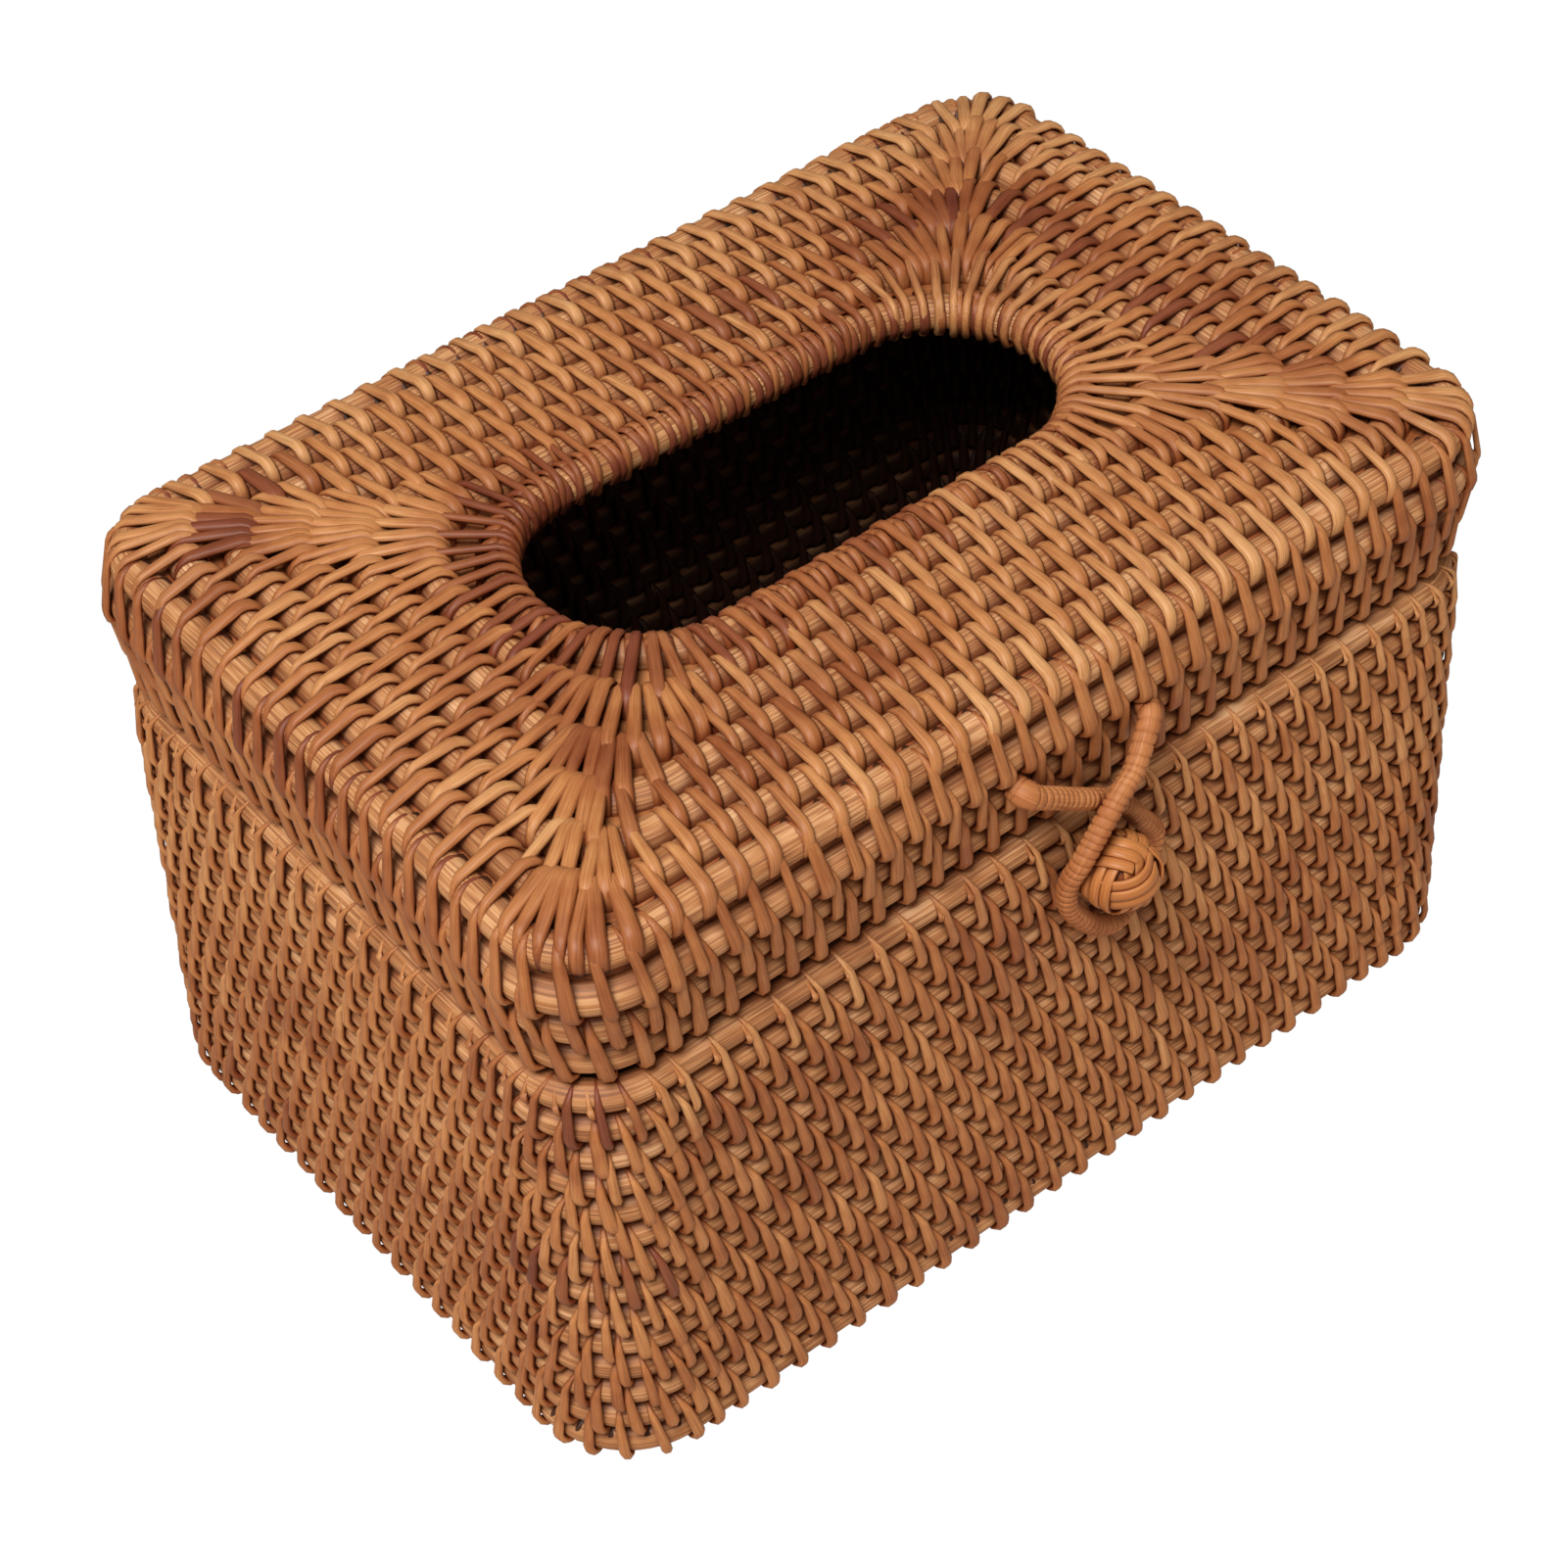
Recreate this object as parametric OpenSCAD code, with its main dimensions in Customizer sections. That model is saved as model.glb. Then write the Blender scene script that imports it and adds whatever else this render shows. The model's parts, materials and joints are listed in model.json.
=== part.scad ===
/* [Outline] */
// Length of the lid at its widest row
lid_l = 250; // [220:1:300]
// Depth of the lid at its widest row, front to back
lid_d = 171.5; // [160:0.5:200]
// Radius of the upright corners, at the outline of the lid
corner_r = 22.3; // [20:0.1:28]

/* [Cane] */
// Diameter of the core canes of the lid
lid_rod_d = 7.7; // [7:0.1:8]
// Diameter of the core canes of the base
base_rod_d = 6.9; // [6:0.1:7.2]
// Thickness of the flat lashing strands
strand_t = 1; // [0.7:0.05:1.2]
// Width of the flat lashing strands
strand_w = 2.6; // [2:0.1:4]
// Distance between neighbouring lashings along a wall
stitch_step = 17; // [12:0.1:24]
// Play between a lashing and the cane that it holds
snug = 0.03; // [0.01:0.01:0.05]

/* [Base] */
// Number of cane rows in the wall of the base
wall_rows = 14; // [6:1:18]
// Distance from row to row in the wall of the base
base_pitch = 8.02; // [7.8:0.01:8.6]
// How far the centre of the rim row lies inside the outline of the lid
rim_inset = 5.9; // [5.5:0.1:7]
// How far the lowest row stands out beyond the rim row
foot_flare = 3; // [0:0.1:4]
// Number of cane rows in the bottom panel
bottom_rows = 9; // [8:1:9]
// Depth of the flat worn on the lashings under the bottom
foot_flat = 0.3; // [0.1:0.05:0.5]
// Height over the ground at which the lashings of the wall stop
foot_lift = 0.4; // [0.35:0.05:0.6]

/* [Lid] */
// Distance from row to row down the side of the lid
lid_pitch = 9.7; // [9.4:0.1:10.5]
// How far the lowest row of the lid is drawn in from its widest row
lid_taper = 3.35; // [2:0.05:4]
// How far the corner row is set in from the side and down from the top
edge_ease = 1.65; // [1:0.05:2]
// Distance from row to row across the top of the lid
top_pitch = 8.4; // [8.1:0.1:8.8]
// Gap between the wrapped lowest row of the lid and the wrapped rim row
seam_gap = 0.43; // [0.3:0.01:0.8]

/* [Hinge ties] */
// Distance from the middle of the back to each hinge tie
tie_x = 71.5; // [50:0.5:85]
// Width of a hinge tie along the rim
tie_w = 8; // [5:0.5:10]
// Thickness of the cane of a hinge tie
tie_t = 0.7; // [0.5:0.05:0.8]
// Running clearance between a hinge tie and the rim row
tie_gap = 0.1; // [0.05:0.01:0.2]

/* [Knot and loop] */
// Place of the knot along the front, from the middle
knot_x = 4.7; // [-20:0.1:20]
// Diameter of the ball of the knot
knot_d = 17; // [15:0.1:17.5]
// Gap between the ball of the knot and the wall behind it
knot_gap = 0.5; // [0.3:0.05:1]
// How far the centre of the ball sits over the row that carries it
knot_rise = 1.5; // [0.5:0.1:2]
// Width of the tie that holds the knot
stem_w = 4; // [3:0.1:5]
// Play between the tie and the ball that is threaded on it
stem_gap = 0.05; // [0.03:0.01:0.1]
// Diameter of the wrapped closure loop
loop_d = 4.1; // [3.6:0.1:4.2]
// Gap between the ends of the loop and the canes that they enter between
root_gap = 0.15; // [0.1:0.01:0.3]

/* [Hidden] */

// Runs and bends of a row meet on whole steps of this size
grain = 0.01;
function even(v) = round(v / grain) * grain;
// Cross-sections are exact circles, drawn with this many sides
round_n = 24;
lid_rod_r = lid_rod_d / 2;
base_rod_r = base_rod_d / 2;
// Radius of a cane with a strand over it
lid_wrap_r = lid_rod_r + strand_t;
base_wrap_r = base_rod_r + strand_t;

// The rows are listed as [how far inside the outline, height]
foot_z = base_wrap_r - foot_flat;
function wall_row(i) = [
  rim_inset - foot_flare * (wall_rows - i) / (wall_rows - 1),
  foot_z + (i - 1) * base_pitch];
rim = wall_row(wall_rows);

lid_rows = 3;
// How the lid draws in below its widest row, as shares of the taper
taper_shares = [0, 0.58, 1];
seam_run = lid_wrap_r + base_wrap_r + seam_gap;
seam_in = lid_wrap_r + lid_taper - rim_inset;
lid_low_z = rim[1] + sqrt(seam_run * seam_run - seam_in * seam_in);
function side_row(k) = [lid_wrap_r + lid_taper * taper_shares[k - 1],
  lid_low_z + (lid_rows - k) * lid_pitch];
edge_row = [lid_wrap_r + edge_ease, lid_low_z + lid_rows * lid_pitch];
top_z = edge_row[1] + edge_ease;
top_rows = 6;
edge_step = sqrt(top_pitch * top_pitch - edge_ease * edge_ease);
function top_row(k) = [
  edge_row[0] + edge_step + (top_rows - k) * top_pitch, top_z];

// Shares by which the bends of the top rows open towards the slot's
// full round ends, from the slot row outwards
round_shares = [1, 0.55, 0.2, 0.05, 0, 0];
top_bend_r = corner_r - lid_wrap_r;
function half_x(inset) = lid_l / 2 - inset;
function half_y(inset) = lid_d / 2 - inset;
slot_bend_r = half_y(top_row(1)[0]);
function top_r(k) = top_bend_r
  + (slot_bend_r - top_bend_r) * round_shares[k - 1];

// Rows of the bottom panel lie inside the lowest row of the wall
foot_in = wall_row(1)[0];
bottom_pitch = half_y(foot_in) / (bottom_rows + 1);
function bottom_row(j) = [foot_in + j * bottom_pitch, foot_z];
bottom_bend_r = corner_r - foot_in;
function bottom_r(j) = min(bottom_bend_r, half_y(bottom_row(j)[0]));
core_half_l = half_x(foot_in) - (bottom_rows + 1) * bottom_pitch;

// The valley between the first and second side rows takes the loop's ends
function row_mid(a, b) = (a + b) / 2;
valley = row_mid(side_row(1), side_row(2));
valley_v = side_row(1) - side_row(2);
valley_h = norm(valley_v) / 2;
root_reach = lid_rod_r + loop_d / 2 + root_gap;
root_out = sqrt(root_reach * root_reach - valley_h * valley_h);
root_n = [-valley_v[1], valley_v[0]] / norm(valley_v);
root_y = -(half_y(valley[0]) - root_n[0] * root_out);
root_z = valley[1] + root_n[1] * root_out;

// The ball stands out from the row of the wall that carries it
knot_row = wall_row(wall_rows - 1);
knot_z = knot_row[1] + knot_rise;
knot_y = -(half_y(knot_row[0]) + base_wrap_r + knot_gap + knot_d / 2);

// Route of the closure loop between its two ends, as shares:
// across in ball diameters from the ball, out in loop diameters from
// the front of the lid, down as a share of the drop to the ball
route_shares = [
  [-1.10, 0.40, 0.04], [-0.58, 0.55, 0.24], [0.27, 0.38, 0.60],
  [0.68, 0.31, 0.91], [0.93, 0.35, 1.15], [0.82, 0.42, 1.37],
  [0.62, 0.52, 1.58], [0.34, 0.62, 1.72], [0.06, 0.66, 1.69],
  [-0.24, 0.67, 1.53], [-0.46, 0.70, 1.34], [-0.57, 0.79, 1.17],
  [-0.60, 1.04, 0.97], [-0.53, 1.47, 0.78], [-0.39, 1.57, 0.64],
  [0.03, 1.50, 0.35], [0.34, 1.16, 0.26], [0.58, 0.72, 0.12],
  [0.77, 0.28, 0.00]];
root_left_share = -1.18;
root_right_share = 0.88;
loop_sides = 10;
loop_steps = 3;

// One closed row of cane: four straight runs and four round bends
module cane_ring(row, bend_r, rod_r) {
  far_x = even(half_x(row[0]));
  far_y = even(half_y(row[0]));
  turn_r = even(bend_r);
  run_x = far_x - turn_r;
  run_y = far_y - turn_r;
  translate([0, 0, row[1]]) {
    for (s = [-1, 1]) {
      translate([-run_x, s * far_y, 0])
        rotate([0, 90, 0])
          cylinder(h = 2 * run_x, r = rod_r, $fn = round_n);
      if (run_y > grain)
        translate([s * far_x, run_y, 0])
          rotate([90, 0, 0])
            cylinder(h = 2 * run_y, r = rod_r, $fn = round_n);
    }
    for (q = [[1, 1, 0], [-1, 1, 90], [-1, -1, 180], [1, -1, 270]])
      translate([q[0] * run_x, q[1] * (run_y > grain ? run_y : 0), 0])
        rotate([0, 0, q[2]])
          rotate_extrude(angle = 90, $fn = 4 * round_n)
            translate([turn_r, 0])
              circle(r = rod_r, $fn = round_n);
  }
}

module wall_ring(i) {
  row = wall_row(i);
  color("#b98a58") cane_ring(row, corner_r - row[0], base_rod_r);
}

module bottom_ring(j) {
  color("#b08352") cane_ring(bottom_row(j), bottom_r(j), base_rod_r);
}

module side_ring(k) {
  row = side_row(k);
  color("#c39560") cane_ring(row, corner_r - row[0], lid_rod_r);
}

module top_ring(k) {
  color("#c79a66") cane_ring(top_row(k), top_r(k), lid_rod_r);
}

module bottom_core_cane() {
  color("#b08352")
    translate([-core_half_l, 0, foot_z])
      rotate([0, 90, 0])
        cylinder(h = 2 * core_half_l, r = base_rod_r, $fn = round_n);
}

module lid_corner_coil() {
  color("#c39560")
    cane_ring(edge_row, corner_r - edge_row[0], lid_rod_r);
}

// Cross-section of a lashing that lies over the rows listed, which run
// with the outside on their right: a band over each cane that dives
// between them along the line of their centres
module lashing_section(rows, rod_r) {
  n = len(rows);
  wrap_r = rod_r + strand_t;
  d0 = (rows[1] - rows[0]) / norm(rows[1] - rows[0]);
  d1 = (rows[n - 1] - rows[n - 2]) / norm(rows[n - 1] - rows[n - 2]);
  first = rows[0] - 2 * wrap_r * d0;
  last = rows[n - 1] + 2 * wrap_r * d1;
  // Two points well inside the rows
  first_in = first + 3 * wrap_r * [-d0[1], d0[0]];
  last_in = last + 3 * wrap_r * [-d1[1], d1[0]];
  difference() {
    union() {
      for (p = rows)
        translate(p) circle(r = wrap_r, $fn = 2 * round_n);
      for (i = [1 : n - 1])
        strap(rows[i - 1], rows[i]);
    }
    for (p = rows)
      translate(p) circle(r = rod_r + snug, $fn = 2 * round_n);
    polygon(concat([first], rows, [last, last_in, first_in]));
  }
}

// Flat stretch of a lashing between two canes
module strap(a, b) {
  d = (b - a) / norm(b - a);
  out = [d[1], -d[0]];
  polygon([a, a + strand_t * out, b + strand_t * out, b]);
}

// Stands a section up at a place on the outline: the section's own
// axes are [out from the place, up]
module stand(place, turn) {
  translate([place[0], place[1], 0])
    rotate([90, 0, turn])
      linear_extrude(strand_w, center = true) children();
}

// Rows as points of a section, counted out from the outline
function out_rows(rows, shift) = [for (r = rows) [shift - r[0], r[1]]];

// Even places of the lashings along a straight run of the outline
function places(half_run) =
  let (n = floor(half_run / stitch_step - 1 / 2))
  [for (i = [-n - 1 : n]) (i + 1 / 2) * stitch_step];
front_places = places(lid_l / 2 - corner_r);
side_places = places(lid_d / 2 - corner_r);
// Under the bottom one lashing lies in the middle, where the box stands
under_n = floor((lid_l / 2 - corner_r) / stitch_step);
under_places = [for (i = [-under_n : under_n]) i * stitch_step];
// A lashing is left out where a tie or the loop takes its place
function free(x, at, wide) = abs(x - at) > (wide + strand_w) / 2 + seam_gap;
bend_turns = [22.5, 67.5];

wall_rows_up = [for (i = [1 : wall_rows]) wall_row(i)];
lid_side_up = concat([for (k = [lid_rows : -1 : 1]) side_row(k)],
  [edge_row]);
// Top rows that run straight past a place, from the corner row inwards
function top_past(t, along_x) = [for (k = [top_rows : -1 : 1])
  if ((along_x ? half_x(top_row(k)[0]) : half_y(top_row(k)[0]))
    - top_r(k) > abs(t) + strand_w / 2) top_row(k)];
// Bottom rows that run straight past a place, from the middle outwards
function bottom_past(t, along_x) = [for (j = [bottom_rows : -1 : 1])
  if ((along_x ? half_x(bottom_row(j)[0]) : half_y(bottom_row(j)[0]))
    - bottom_r(j) > abs(t) + strand_w / 2) bottom_row(j)];
function core_past(t) = core_half_l > abs(t) + strand_w / 2
  ? [[lid_d / 2, foot_z]] : [];

module wall_lashing() {
  color("#a9713c") difference() {
    union() {
      for (x = front_places) {
        if (free(x, knot_x, stem_w))
          stand([x, -lid_d / 2], -90) wall_section(0);
        if (free(abs(x), tie_x, tie_w))
          stand([x, lid_d / 2], 90) wall_section(0);
      }
      for (y = side_places) {
        stand([lid_l / 2, y], 0) wall_section(0);
        stand([-lid_l / 2, y], 180) wall_section(0);
      }
      for (q = [[1, 1, 0], [-1, 1, 90], [-1, -1, 180], [1, -1, 270]])
        for (turn = bend_turns)
          stand([q[0] * (lid_l / 2 - corner_r),
            q[1] * (lid_d / 2 - corner_r)], q[2] + turn)
            wall_section(corner_r);
    }
    // The lashings stop just over the ground
    translate([-lid_l, -lid_l, -lid_l])
      cube([2 * lid_l, 2 * lid_l, lid_l + foot_lift]);
  }
}

// The strands under the bottom start where the wall's stop, below the
// centre of the lowest row
module wall_section(shift) {
  difference() {
    lashing_section(out_rows(wall_rows_up, shift), base_rod_r);
    translate([shift - foot_in + snug - lid_l, foot_z - lid_l])
      square([lid_l, lid_l]);
  }
}

module bottom_lashing() {
  color("#a06a38") difference() {
    union() {
      for (x = under_places)
        for (s = [-1, 1])
          stand([x, s * lid_d / 2], s * 90)
            bottom_section(concat(s < 0 ? core_past(x) : [],
              bottom_past(x, true)));
      for (y = side_places)
        for (s = [0, 1])
          stand([(1 - 2 * s) * lid_l / 2, y], s * 180)
            bottom_section(bottom_past(y, false));
    }
    // Worn flat where the box stands
    translate([-lid_l, -lid_l, -lid_l])
      cube([2 * lid_l, 2 * lid_l, lid_l]);
  }
}

module bottom_section(rows) {
  all = concat(rows, [wall_row(1)]);
  if (len(rows) > 0)
    difference() {
      lashing_section(out_rows(all, 0), base_rod_r);
      translate([-foot_in, -lid_l])
        square([lid_l, 2 * lid_l]);
    }
}

module lid_lashing() {
  color("#b47b42") {
    for (x = front_places) {
      if (free(x, knot_x + knot_d * root_left_share, loop_d)
        && free(x, knot_x + knot_d * root_right_share, loop_d))
        stand([x, -lid_d / 2], -90) lid_section(top_past(x, true));
      if (free(abs(x), tie_x, tie_w))
        stand([x, lid_d / 2], 90) lid_section(top_past(x, true));
    }
    for (y = side_places) {
      stand([lid_l / 2, y], 0) lid_section(top_past(y, false));
      stand([-lid_l / 2, y], 180) lid_section(top_past(y, false));
    }
    for (q = [[1, 1, 0], [-1, 1, 90], [-1, -1, 180], [1, -1, 270]])
      for (turn = bend_turns)
        stand([q[0] * (lid_l / 2 - corner_r),
          q[1] * (lid_d / 2 - corner_r)], q[2] + turn)
          lashing_section(out_rows(lid_side_up, corner_r), lid_rod_r);
  }
}

// The end over the last row stops halfway to the row after it
module lid_section(rows) {
  all = concat(lid_side_up, rows);
  difference() {
    lashing_section(out_rows(all, 0), lid_rod_r);
    translate([-all[len(all) - 1][0] - top_pitch / 2 - lid_l, 0])
      square([lid_l, lid_l]);
  }
}

// Straight-sided web between two round ends
module tie_web(a, ra, b, rb) {
  tilt = atan2(b[1] - a[1], b[0] - a[0]);
  spread = acos((ra - rb) / norm(b - a));
  up = [cos(tilt + spread), sin(tilt + spread)];
  down = [cos(tilt - spread), sin(tilt - spread)];
  polygon([a + ra * up, b + rb * up, b + rb * down, a + ra * down]);
}

// Figure of eight: tight on the lowest row of the lid, free to turn on
// the rim row of the base
module hinge_tie(x) {
  low = side_row(lid_rows);
  a = [-rim[0], rim[1]];
  b = [-low[0], low[1]];
  free_r = base_rod_r + tie_gap;
  tight_r = lid_rod_r + snug;
  color("#9c6230")
    translate([x - tie_w / 2, lid_d / 2, 0])
      rotate([90, 0, 90])
        difference() {
          union() {
            round_bar(a, free_r + tie_t, 0);
            round_bar(b, tight_r + tie_t, 0);
            linear_extrude(tie_w)
              tie_web(a, free_r + tie_t / 2, b, tight_r + tie_t / 2);
          }
          round_bar(a, free_r, tie_t);
          round_bar(b, tight_r, tie_t);
        }
}

// Cylinder as long as a tie, or longer at both ends where it cuts
module round_bar(at, r, over) {
  translate([at[0], at[1], -over])
    cylinder(h = tie_w + 2 * over, r = r, $fn = 2 * round_n);
}

// Cane wrapped round a row of the wall, with a stem into the ball
module knot_tie() {
  hold_r = base_rod_r + snug;
  out = half_y(knot_row[0]);
  stem_h = stem_w / 2;
  color("#a9713c")
    translate([knot_x, 0, 0])
      rotate([90, 0, -90])
        linear_extrude(stem_w, center = true)
          difference() {
            union() {
              translate([out, knot_row[1]])
                circle(r = hold_r + tie_t, $fn = 2 * round_n);
              translate([out, knot_z - stem_h / 2])
                square([-knot_y - out, stem_h]);
            }
            translate([out, knot_row[1]])
              circle(r = hold_r, $fn = 2 * round_n);
          }
}

// Ball of the knot, threaded on the stem
module knot_ball() {
  hole_w = stem_w + 2 * stem_gap;
  hole_h = stem_w / 2 + 2 * stem_gap;
  color("#d08a45")
    translate([knot_x, knot_y, knot_z])
      difference() {
        sphere(d = knot_d, $fn = 2 * round_n);
        translate([-hole_w / 2, -stem_gap, -hole_h / 2])
          cube([hole_w, knot_d, hole_h]);
      }
}

// Points of the loop's route
function route_point(s) = [knot_x + knot_d * s[0],
  -lid_d / 2 - loop_d * s[1], root_z - (root_z - knot_z) * s[2]];
route = concat(
  [[knot_x + knot_d * root_left_share, root_y, root_z]],
  [for (s = route_shares) route_point(s)],
  [[knot_x + knot_d * root_right_share, root_y, root_z]]);
// A smooth curve through the points of the route
function bend(p0, p1, p2, p3, t) = (2 * p1 + (p2 - p0) * t
  + (2 * p0 - 5 * p1 + 4 * p2 - p3) * t * t
  + (3 * p1 - p0 - 3 * p2 + p3) * t * t * t) / 2;
last_i = len(route) - 1;
curve = concat([for (i = [0 : last_i - 1], k = [0 : loop_steps - 1])
  bend(route[max(i - 1, 0)], route[i], route[i + 1],
    route[min(i + 2, last_i)], k / loop_steps)], [route[last_i]]);
last_c = len(curve) - 1;
function unit(v) = v / norm(v);
heading = [for (i = [0 : last_c])
  unit(curve[min(i + 1, last_c)] - curve[max(i - 1, 0)])];
// The section is carried along the curve without twist
function carried(i, side) = unit(side - (side * heading[i]) * heading[i]);
function sides(i, side) = i > last_c ? []
  : let (s = carried(i, side)) concat([s], sides(i + 1, s));
ring_side = sides(0, [0, 0, 1]);
loop_points = [for (i = [0 : last_c], k = [0 : loop_sides - 1])
  let (a = ring_side[i], b = cross(heading[i], a),
    turn = 360 * k / loop_sides)
  curve[i] + loop_d / 2 * (cos(turn) * a + sin(turn) * b)];
loop_skin = [for (i = [0 : last_c - 1], k = [0 : loop_sides - 1])
  let (m = (k + 1) % loop_sides, p = i * loop_sides)
  each [[p + k, p + m, p + m + loop_sides],
    [p + k, p + m + loop_sides, p + k + loop_sides]]];
loop_caps = [[for (k = [loop_sides - 1 : -1 : 0]) k],
  [for (k = [0 : loop_sides - 1]) last_c * loop_sides + k]];

module closure_loop() {
  color("#b8743a")
    polyhedron(points = loop_points, faces = concat(
      [for (f = loop_skin) [f[0], f[2], f[1]]],
      [for (c = loop_caps) [for (k = [len(c) - 1 : -1 : 0]) c[k]]]));
}

wall_ring(1);  // base_coil_01
wall_ring(2);  // base_coil_02
wall_ring(3);  // base_coil_03
wall_ring(4);  // base_coil_04
wall_ring(5);  // base_coil_05
wall_ring(6);  // base_coil_06
wall_ring(7);  // base_coil_07
wall_ring(8);  // base_coil_08
wall_ring(9);  // base_coil_09
wall_ring(10);  // base_coil_10
wall_ring(11);  // base_coil_11
wall_ring(12);  // base_coil_12
wall_ring(13);  // base_coil_13
wall_ring(14);  // base_coil_14
bottom_ring(1);  // bottom_coil_1
bottom_ring(2);  // bottom_coil_2
bottom_ring(3);  // bottom_coil_3
bottom_ring(4);  // bottom_coil_4
bottom_ring(5);  // bottom_coil_5
bottom_ring(6);  // bottom_coil_6
bottom_ring(7);  // bottom_coil_7
bottom_ring(8);  // bottom_coil_8
bottom_ring(9);  // bottom_coil_9
bottom_core_cane();
bottom_lashing();
wall_lashing();
knot_tie();
knot_ball();
side_ring(1);  // lid_side_coil_1
side_ring(2);  // lid_side_coil_2
side_ring(3);  // lid_side_coil_3
lid_corner_coil();
top_ring(1);  // lid_top_coil_1
top_ring(2);  // lid_top_coil_2
top_ring(3);  // lid_top_coil_3
top_ring(4);  // lid_top_coil_4
top_ring(5);  // lid_top_coil_5
top_ring(6);  // lid_top_coil_6
lid_lashing();
hinge_tie(-tie_x);  // hinge_tie_left
hinge_tie(tie_x);  // hinge_tie_right
closure_loop();
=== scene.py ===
import json
import math

import bmesh
import bpy
import numpy as np
from mathutils import Matrix, Vector


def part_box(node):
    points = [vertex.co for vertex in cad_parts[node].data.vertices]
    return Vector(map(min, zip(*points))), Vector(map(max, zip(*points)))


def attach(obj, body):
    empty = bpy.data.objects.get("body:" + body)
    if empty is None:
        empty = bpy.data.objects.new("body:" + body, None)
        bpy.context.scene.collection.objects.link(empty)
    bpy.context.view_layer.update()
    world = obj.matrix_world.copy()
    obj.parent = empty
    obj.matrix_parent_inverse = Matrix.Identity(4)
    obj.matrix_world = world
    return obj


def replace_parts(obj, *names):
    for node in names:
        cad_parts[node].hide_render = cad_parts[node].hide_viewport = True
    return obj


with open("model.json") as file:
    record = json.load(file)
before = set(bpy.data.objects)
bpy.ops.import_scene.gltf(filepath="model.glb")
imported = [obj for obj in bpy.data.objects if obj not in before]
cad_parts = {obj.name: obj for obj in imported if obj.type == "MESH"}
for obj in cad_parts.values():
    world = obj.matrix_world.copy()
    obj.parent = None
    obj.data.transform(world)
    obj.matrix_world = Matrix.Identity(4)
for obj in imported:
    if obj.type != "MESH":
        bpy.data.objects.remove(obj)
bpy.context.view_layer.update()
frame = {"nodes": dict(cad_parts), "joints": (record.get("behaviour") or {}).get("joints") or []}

# Camera. The photograph was taken with a long lens from the left front, well
# above the lid, with the camera rolled a little.
MM = 0.001
photo_width, focal_length = 1601, 3560.99  # in pixels of the photograph
azimuth, elevation, camera_roll = (math.radians(angle) for angle in (-37.16, 44.60, -2.82))
# Where the camera stands, in millimetres: away from the middle of the box, and a little aside and below
box_middle, distance, aside, below = Vector((0, 0, 60)), 775.54, 5.60, 0.19
camera_data = bpy.data.cameras.new("camera")
camera_data.sensor_width = 36
camera_data.lens = focal_length / photo_width * camera_data.sensor_width
camera_data.clip_start, camera_data.clip_end = 0.05, 10
camera = bpy.data.objects.new("camera", camera_data)
bpy.context.collection.objects.link(camera)
bpy.context.scene.camera = camera
bpy.context.scene.view_settings.view_transform = "Standard"
level = Vector((math.cos(azimuth), math.sin(azimuth), 0))
ground_back = Vector((math.sin(azimuth), -math.cos(azimuth), 0))
back = ground_back * math.cos(elevation) + Vector((0, 0, math.sin(elevation)))
upright = back.cross(level)
right = math.cos(camera_roll) * level + math.sin(camera_roll) * upright
above = -math.sin(camera_roll) * level + math.cos(camera_roll) * upright
eye = box_middle - aside * right - below * above + distance * back
camera.matrix_world = Matrix.Translation(eye * MM) @ Matrix((right, above, back)).transposed().to_4x4()


# Core canes. Each row of the box is one round, peeled core cane, pale tan, with
# fine pores that run along it. It shows as small bare blocks between stitches.
def linear(hex_colour):
    """An sRGB hex colour as Blender's linear colour."""
    parts = [int(hex_colour[i : i + 2], 16) / 255 for i in (1, 3, 5)]
    return [c / 12.92 if c <= 0.04045 else ((c + 0.055) / 1.055) ** 2.4 for c in parts] + [1]


def add(tree, kind, settings=None, inputs=None, stops=()):
    """Adds one node, sets it up and links it. A ramp gets its (place, hex colour) stops."""
    node = tree.nodes.new(kind)
    for name, value in (settings or {}).items():
        setattr(node, name, value)
    for name, value in (inputs or {}).items():
        if isinstance(value, bpy.types.NodeSocket):
            tree.links.new(value, node.inputs[name])
        else:
            node.inputs[name].default_value = value
    if stops:
        elements = node.color_ramp.elements
        while len(elements) < len(stops):
            elements.new(0.5)
        for element, (place, colour) in zip(elements, stops):
            element.position, element.color = place, linear(colour)
    return node


def new_material(name, **sockets):
    """A material with its Principled shader's own sockets set."""
    material = bpy.data.materials.new(name)
    material.use_nodes = True
    tree = material.node_tree
    shader = tree.nodes["Principled BSDF"]
    for socket, value in sockets.items():
        shader.inputs[socket.replace("_", " ")].default_value = value
    return material, tree, shader


def stained(tree, colour, share, pattern, *stops):
    """The colour with a stain over it: a ramp of stops through a pattern, laid on to a share."""
    stain = add(tree, "ShaderNodeValToRGB", None, {"Fac": pattern}, stops).outputs["Color"]
    multiply = {"data_type": "RGBA", "blend_type": "MULTIPLY"}
    return add(tree, "ShaderNodeMix", multiply, {0: share, 6: colour, 7: stain}).outputs[2]


def darkened(tree, colour, dark, value, low, high):
    """The colour where a value is above high, and the dark one where it is below low."""
    bounds = {"Value": value, "From Min": low, "From Max": high}
    bright = add(tree, "ShaderNodeMapRange", {"interpolation_type": "SMOOTHSTEP"}, bounds).outputs["Result"]
    colours = {0: bright, 6: linear(dark), 7: colour}
    return add(tree, "ShaderNodeMix", {"data_type": "RGBA"}, colours).outputs[2]


def painted_crevice_shade(tree, colour, dark, reach, low, high):
    """Painted shade: darkens a colour where the surface lies deep between canes and strands less than reach
    metres apart.
    """
    open_share = add(tree, "ShaderNodeAmbientOcclusion", {"samples": 6}, {"Distance": reach}).outputs["AO"]
    return darkened(tree, colour, dark, open_share, low, high)


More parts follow.
